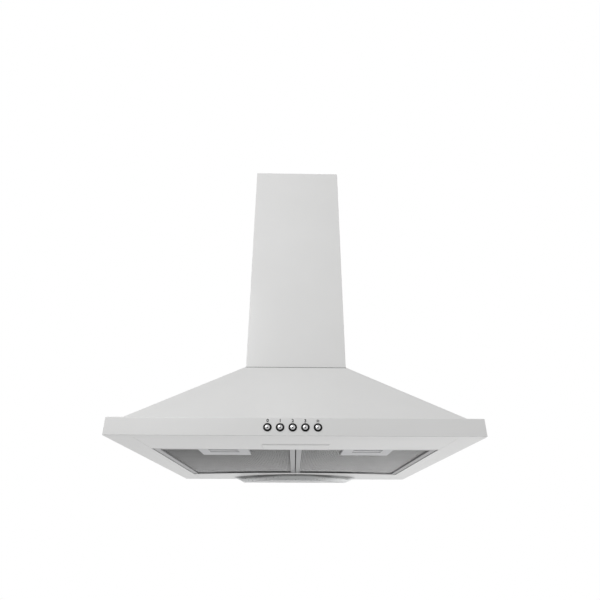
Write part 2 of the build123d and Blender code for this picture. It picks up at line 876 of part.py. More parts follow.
# ---------------------------------------------------------------- lamp tray, lamps and lens
tray_half = 149
tray_front = 79
tray_rear = 37
tray_height = 44
tray_flange = 4
tray_corner = 6
lamp_y = -58
lamp_height = 23
holder_radius = 13
holder_length = 30
holder_x = tray_half - sheet - seat_gap
cap_radius = 7
cap_length = 14
bulb_radius = 16
bulb_length = 58
bulb_nose = 8
bulb_nose_radius = 10
lens_half = 161
lens_front = 95
lens_rear = 36.5
lens_blunt = 3
lens_drop = 14
lens_inset = 27
lens_front_inset = 7
lens_rear_inset = 4
lens_wall = 2
z_tray = z_floor
z_lamp = z_bottom + lamp_height
z_lens_top = z_bottom - seat_gap


def d_face(half, front, rear):
    """A D outline: a straight rear side and one bowed front arc, with blunt ends."""
    tip = -rear - lens_blunt
    with BuildLine() as outline:
        Polyline((-half, tip), (-half, -rear), (half, -rear), (half, tip))
        ThreePointArc((half, tip), (0, -front), (-half, tip))
    make_face(outline.edges())


with BuildPart() as lamp_tray:
    with BuildSketch(on_level(z_tray)):
        span_rectangle(-tray_half, tray_half, -tray_front, -tray_rear)
    extrude(amount=tray_height)
    fillet(lamp_tray.edges().filter_by(Axis.Z), tray_corner)
    offset(amount=-sheet, openings=lamp_tray.faces().sort_by(Axis.Z)[0])
    with BuildSketch(on_level(z_tray)):
        span_rectangle(
            -tray_half - tray_flange,
            tray_half + tray_flange,
            -tray_front - tray_flange,
            -tray_rear + tray_flange,
        )
        span_rectangle(
            -tray_half + tray_corner,
            tray_half - tray_corner,
            -tray_front + sheet,
            -tray_rear - sheet,
            mode=Mode.SUBTRACT,
        )
    extrude(amount=sheet)
save(lamp_tray, "lamp_tray")

with BuildPart() as lamp_holders:
    for side in (-1, 1):
        with BuildSketch(across(side * holder_x, lamp_y, z_lamp)):
            Circle(holder_radius)
        extrude(amount=-side * holder_length)
        with BuildSketch(across(side * (holder_x - holder_length), lamp_y, z_lamp)):
            Circle(cap_radius + seat_gap)
        extrude(amount=side * (cap_length + seat_gap), mode=Mode.SUBTRACT)
save(lamp_holders, "lamp_holders")

bulb_start = holder_x - holder_length
with BuildPart() as lamp_caps:
    for side in (-1, 1):
        with BuildSketch(across(side * (bulb_start + cap_length), lamp_y, z_lamp)):
            Circle(cap_radius)
        extrude(amount=-side * cap_length)
save(lamp_caps, "lamp_caps")

with BuildPart() as lamp_bulbs:
    for side in (-1, 1):
        with BuildSketch(on_level(z_lamp).moved(Location((0, lamp_y, 0)))):
            with BuildLine():
                neck = side * bulb_start
                tip = side * (bulb_start - bulb_length)
                shoulder = tip + side * bulb_nose
                belly = tip + side * bulb_radius
                Polyline(
                    (tip, 0),
                    (neck, 0),
                    (neck, cap_radius),
                    (belly, bulb_radius),
                    (shoulder, bulb_radius),
                    (tip, bulb_nose_radius),
                    (tip, 0),
                )
            make_face()
        revolve(axis=Axis((0, lamp_y, z_lamp), (1, 0, 0)))
save(lamp_bulbs, "lamp_bulbs")

with BuildPart() as lamp_lens:
    with BuildSketch(on_level(z_lens_top)):
        d_face(lens_half, lens_front, lens_rear)
    with BuildSketch(on_level(z_lens_top - lens_drop)):
        d_face(lens_half - lens_inset, lens_front - lens_front_inset, lens_rear + lens_rear_inset)
    loft()
    with BuildSketch(on_level(z_lens_top)):
        d_face(lens_half - 2 * lens_wall, lens_front - lens_wall, lens_rear + lens_wall)
    with BuildSketch(on_level(z_lens_top - lens_drop + lens_wall)):
        d_face(
            lens_half - lens_inset,
            lens_front - lens_front_inset - lens_wall,
            lens_rear + lens_rear_inset + lens_wall,
        )
    loft(mode=Mode.SUBTRACT)
save(lamp_lens, "lamp_lens")

# ---------------------------------------------------------------- grease filters
filter_gap = 1.0
filter_side_gap = 0.8
filter_thick = 9
rim_width = 10
rim_sheet = 0.8
hem_height = 2.8
filter_clear = 4.5
filter_overlap = 3
net_sheet = 1.0
net_gap = 0.2
diamond_columns = 12
diamond_rows = 12
diamond_share = 0.72
cup_centre = 132
cup_half = 45.5
cup_length = 57
cup_wall = 1.6
cup_depth = 7.4
cup_proud = 0.5
slot_half = 27
slot_inset = 5.5
slot_opening = 25
slider_thick = 2.2
finger_room = 12
pad_length = 17
grip_thick = 2
arm_gap = 1
latch_arm = 6
tongue_reach = 1.8
filter_front = front_edge - filter_clear
filter_rear = rear_edge - filter_overlap
cup_rear = filter_front - cup_length
slot_front = filter_front - slot_inset
slot_rear = slot_front - slot_opening
z_filter = z_floor + seat_gap
z_filter_top = z_filter + filter_thick
outer_x = opening_half - filter_side_gap
inner_x = filter_gap
z_cup = z_filter - cup_proud
z_cup_top = z_cup + cup_depth
z_slider = z_cup + cup_wall + running
arm_inner = slot_half + arm_gap
arm_outer = arm_inner + latch_arm
arm_pitch = arm_inner + arm_outer


def filter_span(side):
    """The filter's lowest and highest X on one side of the hood."""
    return (inner_x, outer_x) if side > 0 else (-outer_x, -inner_x)


def filter_frame(side, inset, mode=Mode.ADD):
    """The filter's outline on one side of the hood, drawn in by an inset."""
    x_low, x_high = filter_span(side)
    span_rectangle(x_low + inset, x_high - inset, -filter_front + inset, -filter_rear - inset, mode=mode)


def filter_rim(side):
    """A frame of U channel that opens inwards, with a hem under the net and notches for the latch."""
    with BuildPart() as rim:
        with BuildSketch(on_level(z_filter)):
            filter_frame(side, 0)
        extrude(amount=filter_thick)
        fillet(rim.edges().filter_by(Axis.Z), rim_sheet * 2)
        with BuildSketch(on_level(z_filter)):
            filter_frame(side, rim_width)
        extrude(amount=filter_thick, mode=Mode.SUBTRACT)
        with BuildSketch(on_level(z_filter + rim_sheet)):
            filter_frame(side, rim_sheet)
        extrude(amount=filter_thick - 2 * rim_sheet, mode=Mode.SUBTRACT)
        # hem along the inner edge of the lower flange
        with BuildSketch(on_level(z_filter)):
            filter_frame(side, rim_width - rim_sheet)
            filter_frame(side, rim_width, mode=Mode.SUBTRACT)
        extrude(amount=hem_height)
        # room for the handle cup, and the notches that the latch's tongues pass
        with BuildSketch(on_level(z_filter)):
            with Locations((side * cup_centre, -filter_front + rim_sheet + rim_width / 2)):
                Rectangle(2 * (cup_half + net_gap), rim_width)
            with Locations((side * cup_centre, -filter_front + rim_width / 2)):
                with GridLocations(arm_pitch, 1, 2, 1):
                    Rectangle(latch_arm + 2 * net_gap, rim_width)
        extrude(amount=z_cup_top + net_gap - z_filter, mode=Mode.SUBTRACT)
    return rim


def filter_mesh(side):
    """Two expanded sheets held in the rim: the lower one is a net of diamonds, the upper one is plain."""
    x_low, x_high = filter_span(side)
    inset = rim_sheet + net_gap
    width = x_high - x_low - 2 * rim_width
    depth = filter_front - filter_rear - 2 * rim_width
    pitch_x = width / diamond_columns
    pitch_y = depth / diamond_rows
    z_net = z_filter + hem_height + net_gap
    z_back = z_filter_top - rim_sheet - net_gap - net_sheet
    with BuildPart() as mesh:
        for level in (z_net, z_back):
            with BuildSketch(on_level(level)):
                filter_frame(side, inset)
                with Locations((side * cup_centre, (-filter_front - cup_rear) / 2)):
                    Rectangle(
                        2 * (cup_half + net_gap), filter_front - cup_rear + 2 * net_gap, mode=Mode.SUBTRACT
                    )
            extrude(amount=net_sheet)
        with BuildSketch(on_level(z_net)):
            middle = ((x_low + x_high) / 2, -(filter_front + filter_rear) / 2)
            with Locations(middle):
                with GridLocations(pitch_x, pitch_y, diamond_columns, diamond_rows):
                    Polygon(
                        (-pitch_x * diamond_share / 2, 0),
                        (0, -pitch_y * diamond_share / 2),
                        (pitch_x * diamond_share / 2, 0),
                        (0, pitch_y * diamond_share / 2),
                    )
            with Locations((side * cup_centre, (-filter_front - cup_rear) / 2)):
                Rectangle(2 * (cup_half + pitch_x), filter_front - cup_rear + pitch_y, mode=Mode.SUBTRACT)
        extrude(amount=net_sheet, mode=Mode.SUBTRACT)
    return mesh


def handle_cup(side):
    """The moulded handle: a shallow box with the finger slot in its lower face."""
    centre = side * cup_centre
    y_front = -filter_front + rim_sheet + net_gap
    with BuildPart() as cup:
        with BuildSketch(on_level(z_cup)):
            span_rectangle(centre - cup_half, centre + cup_half, y_front, -cup_rear)
        extrude(amount=cup_depth)
        with BuildSketch(on_level(z_cup + cup_wall)):
            span_rectangle(
                centre - cup_half + cup_wall,
                centre + cup_half - cup_wall,
                y_front + cup_wall,
                -cup_rear - cup_wall,
            )
        extrude(amount=cup_depth - 2 * cup_wall, mode=Mode.SUBTRACT)
        chamfer(cup.faces().sort_by(Axis.Z)[0].outer_wire().edges(), cup_proud)
        with BuildSketch(on_level(z_cup)):
            span_rectangle(centre - slot_half, centre + slot_half, -slot_front, -slot_rear)
        extrude(amount=cup_wall, mode=Mode.SUBTRACT)
        with BuildSketch(on_level(z_slider - running)):
            with Locations((centre, y_front)):
                with GridLocations(arm_pitch, 1, 2, 1):
                    Rectangle(latch_arm + 2 * net_gap, 4 * cup_wall)
        extrude(amount=slider_thick + 2 * net_gap, mode=Mode.SUBTRACT)
    return cup


def latch_slider(side):
    """The sprung slider: a pad behind the finger's room, a grip rib, and an arm with a tongue at each end."""
    centre = side * cup_centre
    pad_front = -slot_front + finger_room
    with BuildPart() as slider:
        with BuildSketch(on_level(z_slider)):
            span_rectangle(centre - arm_outer, centre + arm_outer, pad_front, pad_front + pad_length)
            with Locations((centre, (pad_front - filter_front - tongue_reach) / 2)):
                with GridLocations(arm_pitch, 1, 2, 1):
                    Rectangle(latch_arm, pad_front + filter_front + tongue_reach)
        extrude(amount=slider_thick)
        with BuildSketch(on_level(z_slider)):
            span_rectangle(
                centre - slot_half + net_gap, centre + slot_half - net_gap, pad_front, pad_front + grip_thick
            )
        extrude(amount=-cup_wall + net_gap)
    return slider


for side, label in ((-1, "left"), (1, "right")):
    save(filter_rim(side), f"filter_rim_{label}")
    save(filter_mesh(side), f"filter_mesh_{label}")
    save(handle_cup(side), f"handle_cup_{label}")
    save(latch_slider(side), f"latch_slider_{label}")

# ---------------------------------------------------------------- electrical pieces on the back panel
box_x = -150
box_half = 38
box_height = 66
box_low = 62
box_depth = 40
box_wall = 2
lid_thick = 2.5
lid_clear = 0.5
terminal_half = 24
terminal_rise = 7
terminal_depth = 12
terminal_hole = 4.6
capacitor_x = 140
capacitor_radius = 16
capacitor_length = 62
capacitor_height = 90
tab_thick = 1
tab_width = 6
tab_length = 8
gland_radius = 9
gland_bore = 4
gland_height = 14
nut_radius = 11
y_panel = -sheet
z_box = z_bottom + box_low
gland_base = Location((box_x, y_panel - box_depth / 2, 0))

with BuildPart() as junction_box:
    with BuildSketch(facing_front(box_x, y_panel, z_box + box_height / 2)):
        Rectangle(2 * box_half, box_height)
    extrude(amount=box_depth)
    chamfer(junction_box.edges().filter_by(Axis.Y), box_wall)
    with BuildSketch(facing_front(box_x, y_panel - box_wall, z_box + box_height / 2)):
        Rectangle(2 * (box_half - box_wall), box_height - 2 * box_wall)
    extrude(amount=box_depth, mode=Mode.SUBTRACT)
    with BuildSketch(on_level(z_box + box_height - box_wall).moved(gland_base)):
        Circle(gland_radius + running)
    extrude(amount=box_wall, mode=Mode.SUBTRACT)
save(junction_box, "junction_box")

with BuildPart() as junction_lid:
    with BuildSketch(facing_front(box_x, y_panel - box_depth, z_box + box_height / 2)):
        Rectangle(2 * box_half, box_height)
    extrude(amount=lid_thick)
    chamfer(junction_lid.edges().filter_by(Axis.Y), box_wall)
    chamfer(junction_lid.faces().sort_by(Axis.Y)[0].edges(), lid_thick / 3)
    # lip that locates the lid inside the box
    with BuildSketch(facing_front(box_x, y_panel - box_depth, z_box + box_height / 2)):
        for inset, mode in ((box_wall, Mode.ADD), (2 * box_wall, Mode.SUBTRACT)):
            Rectangle(2 * (box_half - inset - lid_clear), box_height - 2 * (inset + lid_clear), mode=mode)
    extrude(amount=-box_wall)
save(junction_lid, "junction_lid")

with BuildPart() as terminal_block:
    with BuildSketch(facing_front(box_x, y_panel - box_wall, z_box + box_height / 3)):
        Rectangle(2 * terminal_half, 2 * terminal_rise)
    extrude(amount=terminal_depth)
    with BuildSketch(facing_front(box_x, y_panel - box_wall - terminal_depth, z_box + box_height / 3)):
        with GridLocations(terminal_half / 2, terminal_rise, 4, 2):
            Rectangle(terminal_hole, terminal_hole)
    extrude(amount=-terminal_depth / 2, mode=Mode.SUBTRACT)
save(terminal_block, "terminal_block")

with BuildPart() as cable_gland:
    with BuildSketch(on_level(z_box + box_height).moved(gland_base)):
        RegularPolygon(nut_radius, 6)
    extrude(amount=gland_height / 3)
    with BuildSketch(on_level(z_box + box_height + gland_height / 3).moved(gland_base)):
        Circle(gland_radius)
    extrude(amount=gland_height * 2 / 3)
    with BuildSketch(on_level(z_box + box_height).moved(gland_base)):
        Circle(gland_radius)
    extrude(amount=-2 * box_wall)
    with BuildSketch(on_level(z_box + box_height - 2 * box_wall).moved(gland_base)):
        Circle(gland_bore)
    extrude(amount=gland_height + 2 * box_wall, mode=Mode.SUBTRACT)
save(cable_gland, "cable_gland")

with BuildPart() as capacitor:
    with BuildSketch(facing_front(capacitor_x, y_panel, z_bottom + capacitor_height)):
        Circle(capacitor_radius)
    extrude(amount=capacitor_length)
    with BuildSketch(facing_front(capacitor_x, y_panel - capacitor_length, z_bottom + capacitor_height)):
        with GridLocations(capacitor_radius, 1, 2, 1):
            Rectangle(tab_thick, tab_width)
    extrude(amount=tab_length)
save(capacitor, "capacitor")
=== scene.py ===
"""Looks of a chimney range hood: enamel, zinc, filter nets, lamps, push buttons, signs and the stage."""

import math

import bmesh
import bpy
import numpy as np
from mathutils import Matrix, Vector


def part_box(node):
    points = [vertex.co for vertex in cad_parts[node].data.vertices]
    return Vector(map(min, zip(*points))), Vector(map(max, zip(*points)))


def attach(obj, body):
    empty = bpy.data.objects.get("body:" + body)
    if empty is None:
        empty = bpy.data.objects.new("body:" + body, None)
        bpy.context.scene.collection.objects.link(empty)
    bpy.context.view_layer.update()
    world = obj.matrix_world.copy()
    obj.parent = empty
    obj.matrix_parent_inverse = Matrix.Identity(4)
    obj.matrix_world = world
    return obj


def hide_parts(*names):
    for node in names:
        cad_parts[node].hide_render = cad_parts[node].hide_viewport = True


bl_info = {
    "name": "Chimney range hood looks",
    "version": (1, 0, 0),
    "blender": (4, 5, 0),
    "location": "3D View > Sidebar > Range hood",
    "description": "Finishes, filter nets, signs and stage for a wall-hung range hood",
    "category": "Object",
}

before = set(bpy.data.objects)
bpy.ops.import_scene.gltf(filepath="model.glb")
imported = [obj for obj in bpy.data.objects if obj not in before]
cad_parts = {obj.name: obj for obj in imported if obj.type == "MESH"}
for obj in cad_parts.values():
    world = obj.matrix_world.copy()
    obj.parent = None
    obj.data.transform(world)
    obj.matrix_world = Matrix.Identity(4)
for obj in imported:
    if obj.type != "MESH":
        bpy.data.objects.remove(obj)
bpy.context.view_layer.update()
MM = 0.001
TAU = 2 * math.pi
BUTTON_COUNT = 5
# thickness of a net's strand as a share of its width
STRAND_DEPTH = 0.7
# how far printed ink stands in front of the sheet
INK_STAND = 0.05 * MM


# ---------------------------------------------------------------- settings
class EnamelSettings(bpy.types.PropertyGroup):
    colour: bpy.props.FloatVectorProperty(
        name="Enamel", description="Colour of the painted sheet", subtype="COLOR",
        size=3, min=0.0, max=1.0, default=(0.79, 0.79, 0.785),
    )
    roughness: bpy.props.FloatProperty(
        name="Roughness", description="Roughness of the enamel", min=0.0, max=1.0, default=0.34,
        subtype="FACTOR",
    )
    peel: bpy.props.FloatProperty(
        name="Peel", description="Height of the fine waviness left by spraying", min=0.0,
        default=0.00003, unit="LENGTH",
    )


class FilterSettings(bpy.types.PropertyGroup):
    cell: bpy.props.FloatProperty(
        name="Cell", description="Length of one diamond across the filter", min=0.002,
        default=0.0065, unit="LENGTH",
    )
    row: bpy.props.FloatProperty(
        name="Row", description="Height of one row of diamonds", min=0.001,
        default=0.0034, unit="LENGTH",
    )
    strand: bpy.props.FloatProperty(
        name="Strand", description="Width of one strand of the net", min=0.0002,
        default=0.0009, unit="LENGTH",
    )
    colour: bpy.props.FloatVectorProperty(
        name="Net", description="Colour of the expanded aluminium", subtype="COLOR",
        size=3, min=0.0, max=1.0, default=(0.47, 0.47, 0.47),
    )
    # painted shade: the net is drawn darker at its front edge and lighter towards its rear
    front_shade: bpy.props.FloatProperty(
        name="Front_shade", description="Brightness of the net at its front edge", min=0.0, max=1.0,
        default=0.78, subtype="FACTOR",
    )


class LampSettings(bpy.types.PropertyGroup):
    opal: bpy.props.FloatVectorProperty(
        name="Lens", description="Tint of the moulded lens", subtype="COLOR",
        size=3, min=0.0, max=1.0, default=(0.90, 0.91, 0.91),
    )
    clearness: bpy.props.FloatProperty(
        name="Clearness", description="Share of the light that passes the lens", min=0.0, max=1.0,
        default=0.55, subtype="FACTOR",
    )
    # painted shade: these three settings shape a dark band drawn under the lens's upper edge
    band_shade: bpy.props.FloatProperty(
        name="Band_shade", description="Brightness of the shaded band at the lens's upper edge",
        min=0.0, max=1.0, default=0.22, subtype="FACTOR",
    )
    band: bpy.props.FloatProperty(
        name="Band", description="Height of the shaded band at the middle of the lens", min=0.0,
        default=0.0036, unit="LENGTH",
    )
    band_drop: bpy.props.FloatProperty(
        name="Band drop", description="How much lower the band reaches before each lamp", min=0.0,
        default=0.0022, unit="LENGTH",
    )


class SignSettings(bpy.types.PropertyGroup):
    height: bpy.props.FloatProperty(
        name="Height", description="Height of the printed signs", min=0.001, default=0.0052,
        unit="LENGTH",
    )
    weight: bpy.props.FloatProperty(
        name="Weight", description="How much the strokes of the numbers are thickened", min=0.0,
        default=0.00028, unit="LENGTH",
    )
    rise: bpy.props.FloatProperty(
        name="Rise", description="Distance of the signs above the middle of the buttons",
        default=0.0106, unit="LENGTH",
    )
    colour: bpy.props.FloatVectorProperty(
        name="Print", description="Colour of the printed signs", subtype="COLOR",
        size=3, min=0.0, max=1.0, default=(0.02, 0.02, 0.022),
    )


class StageSettings(bpy.types.PropertyGroup):
    floor_drop: bpy.props.FloatProperty(
        name="Floor drop", description="Distance of the floor below the hood", min=0.2,
        default=1.25, unit="LENGTH",
    )
    room_light: bpy.props.FloatProperty(
        name="Room light", description="Strength of the even light from all round", min=0.0,
        default=0.885,
    )
    front_power: bpy.props.FloatProperty(
        name="Front light", description="Power of the soft light at the upper left of the front",
        min=0.0, default=9.0, unit="POWER",
    )
    under_power: bpy.props.FloatProperty(
        name="Under light", description="Power of the soft light below at the right",
        min=0.0, default=6.5, unit="POWER",
    )
    focal_length: bpy.props.FloatProperty(
        name="Focal length", description="Focal length of the camera in millimetres", min=1.0,
        default=22.97, unit="CAMERA",
    )


SETTINGS = {
    "hood_enamel": EnamelSettings,
    "hood_filter": FilterSettings,
    "hood_lamp": LampSettings,
    "hood_signs": SignSettings,
    "hood_stage": StageSettings,
}


# ---------------------------------------------------------------- materials
class Finish:
    """One procedural material: a Principled shader, Object coordinates and the nodes that feed it."""

    def __init__(self, name, colour, roughness, metallic=0.0, **sockets):
        self.material = bpy.data.materials.new(name)
        self.material.use_nodes = True
        self.nodes = self.material.node_tree.nodes
        self.links = self.material.node_tree.links
        self.shader = self.nodes["Principled BSDF"]
        self.colour = (*colour, 1.0)
        self.shader.inputs["Base Color"].default_value = self.colour
        self.shader.inputs["Roughness"].default_value = roughness
        self.shader.inputs["Metallic"].default_value = metallic
        for socket, value in sockets.items():
            self.shader.inputs[socket.replace("_", " ")].default_value = value
        self.place = self.nodes.new("ShaderNodeTexCoord").outputs["Object"]

    def axes(self):
        """The X, Y and Z of the Object coordinates, each as a value of its own."""
        split = self.nodes.new("ShaderNodeSeparateXYZ")
        self.links.new(self.place, split.inputs[0])
        return split.outputs

    def stretched(self, scale):
        """Object coordinates scaled by a Mapping node."""
        mapping = self.nodes.new("ShaderNodeMapping")
        mapping.inputs["Scale"].default_value = scale
        self.links.new(self.place, mapping.inputs["Vector"])
        return mapping.outputs["Vector"]

    def noise(self, scale, detail=3.0, vector=None):
        """Smooth noise with a given number of lumps per metre."""
        noise = self.nodes.new("ShaderNodeTexNoise")
        noise.inputs["Scale"].default_value = scale
        noise.inputs["Detail"].default_value = detail
        self.links.new(vector or self.place, noise.inputs["Vector"])
        return noise.outputs["Fac"]

    def cells(self, scale):
        """A random value for each cell of a Voronoi pattern, like the crystals of zinc."""
        voronoi = self.nodes.new("ShaderNodeTexVoronoi")
        voronoi.inputs["Scale"].default_value = scale
        self.links.new(self.place, voronoi.inputs["Vector"])
        split = self.nodes.new("ShaderNodeSeparateColor")
        self.links.new(voronoi.outputs["Color"], split.inputs["Color"])
        return split.outputs["Red"]

    def combine(self, operation, value, other=None):
        """One Math node on one or two values."""
        math_node = self.nodes.new("ShaderNodeMath")
        math_node.operation = operation
        self.links.new(value, math_node.inputs[0])
        if other is not None:
            self.links.new(other, math_node.inputs[1])
        return math_node.outputs[0]

    def spread(self, value, low, high, start=0.0, end=1.0):
        """A value from start..end mapped to low..high, and held at the ends."""
        mapped = self.nodes.new("ShaderNodeMapRange")
        mapped.inputs["From Min"].default_value = start
        mapped.inputs["From Max"].default_value = end
        mapped.inputs["To Min"].default_value = low
        mapped.inputs["To Max"].default_value = high
        self.links.new(value, mapped.inputs["Value"])
        return mapped.outputs["Result"]

    def tint(self, value, dark, light):
        """Base colour that varies with a value between a darker and a lighter share of itself."""
        ramp = self.nodes.new("ShaderNodeMix")
        ramp.data_type = "RGBA"
        ramp.inputs["A"].default_value = (*[dark * c for c in self.colour[:3]], 1.0)
        ramp.inputs["B"].default_value = (*[light * c for c in self.colour[:3]], 1.0)
        self.links.new(value, ramp.inputs["Factor"])
        self.links.new(ramp.outputs["Result"], self.shader.inputs["Base Color"])

    def roughen(self, value, low, high):
        """Roughness that varies with a value."""
        self.links.new(self.spread(value, low, high), self.shader.inputs["Roughness"])

    def emboss(self, value, height, strength):
        """A bump of a given height in metres. The material is then complete."""
        bump = self.nodes.new("ShaderNodeBump")
        bump.inputs["Distance"].default_value = height
        bump.inputs["Strength"].default_value = strength
        self.links.new(value, bump.inputs["Height"])
        self.links.new(bump.outputs["Normal"], self.shader.inputs["Normal"])
        return self.material

    def pit(self, roughness):
        """The soft, slightly pitted skin of pressed or cast alloy. The material is then complete."""
        self.roughen(self.noise(300.0), low=roughness - 0.08, high=roughness + 0.10)
        return self.emboss(self.noise(700.0, detail=4.0), height=0.06 * MM, strength=0.5)


def enamel(settings):
    """White stoved enamel: very slight clouds and the fine waviness of a sprayed coat."""
    finish = Finish(
        "white_enamel", settings.colour, settings.roughness, Coat_Weight=0.25, Coat_Roughness=0.12,
    )
    finish.tint(finish.noise(9.0, detail=2.0), dark=0.975, light=1.02)
    finish.roughen(finish.noise(60.0), low=settings.roughness - 0.05, high=settings.roughness + 0.05)
    return finish.emboss(finish.noise(650.0, detail=1.0), height=settings.peel, strength=0.35)


def zinc():
    """Galvanised sheet with its spangle of flat crystals."""
    finish = Finish("zinc_sheet", (0.60, 0.61, 0.62), 0.42, metallic=1.0)
    crystals = finish.cells(110.0)
    finish.tint(crystals, dark=0.82, light=1.12)
    finish.roughen(crystals, low=0.34, high=0.52)
    return finish.emboss(finish.noise(900.0), height=0.02 * MM, strength=0.3)


def moulded(name, colour, roughness, **sockets):
    """Moulded plastic with a fine spark-eroded grain and faint flow marks."""
    grain = 1400.0
    finish = Finish(name, colour, roughness, **sockets)
    finish.tint(finish.noise(28.0, detail=2.0), dark=0.93, light=1.06)
    finish.roughen(finish.noise(grain * 0.5), low=roughness - 0.06, high=roughness + 0.08)
    return finish.emboss(finish.noise(grain, detail=2.0), height=0.03 * MM, strength=0.45)


def brushed(name, colour, roughness, scale):
    """Rolled or brushed metal: noise drawn out along one axis by uneven scales."""
    finish = Finish(name, colour, roughness, metallic=1.0)
    lines = finish.noise(1.0, detail=4.0, vector=finish.stretched(scale))
    finish.tint(lines, dark=0.88, light=1.08)
    finish.roughen(lines, low=roughness - 0.08, high=roughness + 0.12)
    return finish.emboss(lines, height=0.02 * MM, strength=0.35)


def cast(name, colour, roughness):
    """Die-cast alloy with faint clouds."""
    finish = Finish(name, colour, roughness, metallic=1.0)
    finish.tint(finish.noise(140.0), dark=0.85, light=1.08)
    return finish.pit(roughness)


def plated():
    """Bright chrome plating with barely visible polishing haze."""
    finish = Finish("bright_chrome", (0.86, 0.86, 0.87), 0.07, metallic=1.0)
    finish.roughen(finish.noise(500.0), low=0.05, high=0.11)
    return finish.emboss(finish.noise(900.0, detail=2.0), height=0.004 * MM, strength=0.3)


def net_alloy(settings):
    """Expanded aluminium, cloudy, with painted shade towards the front edge and painted light towards the
    rear.
    """
    roughness = 0.42
    cloudiness = 0.2
    finish = Finish("net_alloy", settings.colour, roughness, metallic=1.0)
    low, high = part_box("filter_mesh_left")
    # painted shade at the front edge, painted light towards the rear
    lit_to_rear = finish.spread(finish.axes()["Y"], 0.0, 1.0, start=low.y, end=high.y)
    clouds = finish.spread(finish.noise(45.0), -cloudiness, cloudiness)
    finish.tint(finish.combine("ADD", lit_to_rear, clouds), dark=settings.front_shade, light=1.2)
    return finish.pit(roughness)


def opal_lens(settings):
    """Moulded acrylic that lets light through and blurs it, with a fine prismatic grain.

    A band of painted shade lies under its upper edge. It is deeper before each lamp and thins out at the
    tips. Below it the acrylic has painted light, a little whiter before each lamp.
    """
    # distances from the middle of the lens along X
    deeper_from, deepest_at = 40 * MM, 85 * MM
    thinner_from, thinnest_at = 138 * MM, 156 * MM
    whiter_from, whitest_at = 45 * MM, 80 * MM
    tip_share = -1.5
    middle_share = 0.84
    edge_blur = 2 * MM
    finish = Finish(
        "lens_acrylic", settings.opal, 0.28,
        Transmission_Weight=settings.clearness, IOR=1.49, Coat_Weight=0.3, Coat_Roughness=0.08,
    )
    low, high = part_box("lamp_lens")
    axes = finish.axes()
    aside = finish.combine("ABSOLUTE", axes["X"])
    near = finish.spread(aside, 0.0, settings.band_drop, start=deeper_from, end=deepest_at)
    far = finish.spread(aside, 1.0, tip_share, start=thinner_from, end=thinnest_at)
    height = finish.combine("ADD", axes["Z"], finish.combine("MULTIPLY", near, far))
    # painted shade: a dark band under the lens's upper edge, deeper before each lamp
    edge = high.z - settings.band
    clear = finish.spread(height, 0.0, 1.0, start=edge + edge_blur, end=edge - edge_blur)
    # painted light: the acrylic below the band is drawn whiter before each lamp
    lit = finish.spread(aside, middle_share, 1.0, start=whiter_from, end=whitest_at)
    finish.tint(finish.combine("MULTIPLY", clear, lit), dark=settings.band_shade, light=1.08)
    finish.roughen(finish.noise(240.0), low=0.24, high=0.34)
    return finish.emboss(finish.noise(420.0, detail=1.0), height=0.08 * MM, strength=0.4)


def frosted_bulb():
    """Inside-frosted lamp glass: white, a little translucent and glossy."""
    finish = Finish("frosted_glass", (0.93, 0.92, 0.88), 0.16, Transmission_Weight=0.15, Coat_Weight=0.5)
    finish.tint(finish.noise(40.0, detail=2.0), dark=0.97, light=1.0)
    return finish.emboss(finish.noise(300.0, detail=2.0), height=0.02 * MM, strength=0.3)


def printed(settings):
    """Screen-printed ink, slightly uneven."""
    finish = Finish("printed_ink", settings.colour, 0.55)
    finish.tint(finish.noise(900.0, detail=2.0), dark=0.8, light=1.3)
    return finish.material


def dress(material, *names):
    """Gives CAD nodes one material in every slot they have."""
    for name in names:
        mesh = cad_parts[name].data
        mesh.materials.clear()
        mesh.materials.append(material)


# ---------------------------------------------------------------- meshes
def new_object(name, data):
    """An object for a mesh, curve, light or camera, linked into the scene."""
    piece = bpy.data.objects.new(name, data)
    bpy.context.scene.collection.objects.link(piece)
    return piece


def mesh_object(name, points, faces, material, smooth=False):
    """A mesh object at the origin from arrays of points and of quads."""
    mesh = bpy.data.meshes.new(name)
    mesh.vertices.add(len(points))
    mesh.vertices.foreach_set("co", np.ascontiguousarray(points, dtype=np.float32).ravel())
    corners = faces.shape[1]
    mesh.loops.add(faces.size)
    mesh.loops.foreach_set("vertex_index", np.ascontiguousarray(faces, dtype=np.int32).ravel())
    mesh.polygons.add(len(faces))
    mesh.polygons.foreach_set("loop_start", np.arange(0, faces.size, corners, dtype=np.int32))
    mesh.polygons.foreach_set("loop_total", np.full(len(faces), corners, dtype=np.int32))
    mesh.polygons.foreach_set("use_smooth", np.full(len(faces), smooth, dtype=bool))
    mesh.update(calc_edges=True)
    mesh.validate()
    mesh.materials.append(material)
    return new_object(name, mesh)


def joined(surfaces):
    """Several pairs of points and faces as one pair, each face's numbers moved up past the earlier points."""
    points, faces, count = [], [], 0
    for some, quads in surfaces:
        points.append(some)
        faces.append(quads + count)
        count += len(some)
    return np.vstack(points), np.vstack(faces)


def tube_faces(runs, stations, corners):
    """Quads for closed-section bars on a grid of runs x stations x corners, with both ends capped.

    The side quads join each corner of a station to the next corner and the next station. The sections
    have four corners, so one quad caps each end.
    """
    run = np.arange(runs)[:, None, None] * stations * corners
    station = np.arange(stations - 1)[None, :, None] * corners
    corner = np.arange(corners)[None, None, :]
    here = run + station + corner
    beside = run + station + (corner + 1) % corners
    sides = np.stack((here, beside, beside + corners, here + corners), -1).reshape(-1, 4)
    first = run[:, 0, 0][:, None] + np.arange(4)[None, ::-1]
    last = run[:, 0, 0][:, None] + (stations - 1) * corners + np.arange(4)[None, :]
    return np.concatenate((sides, first, last))


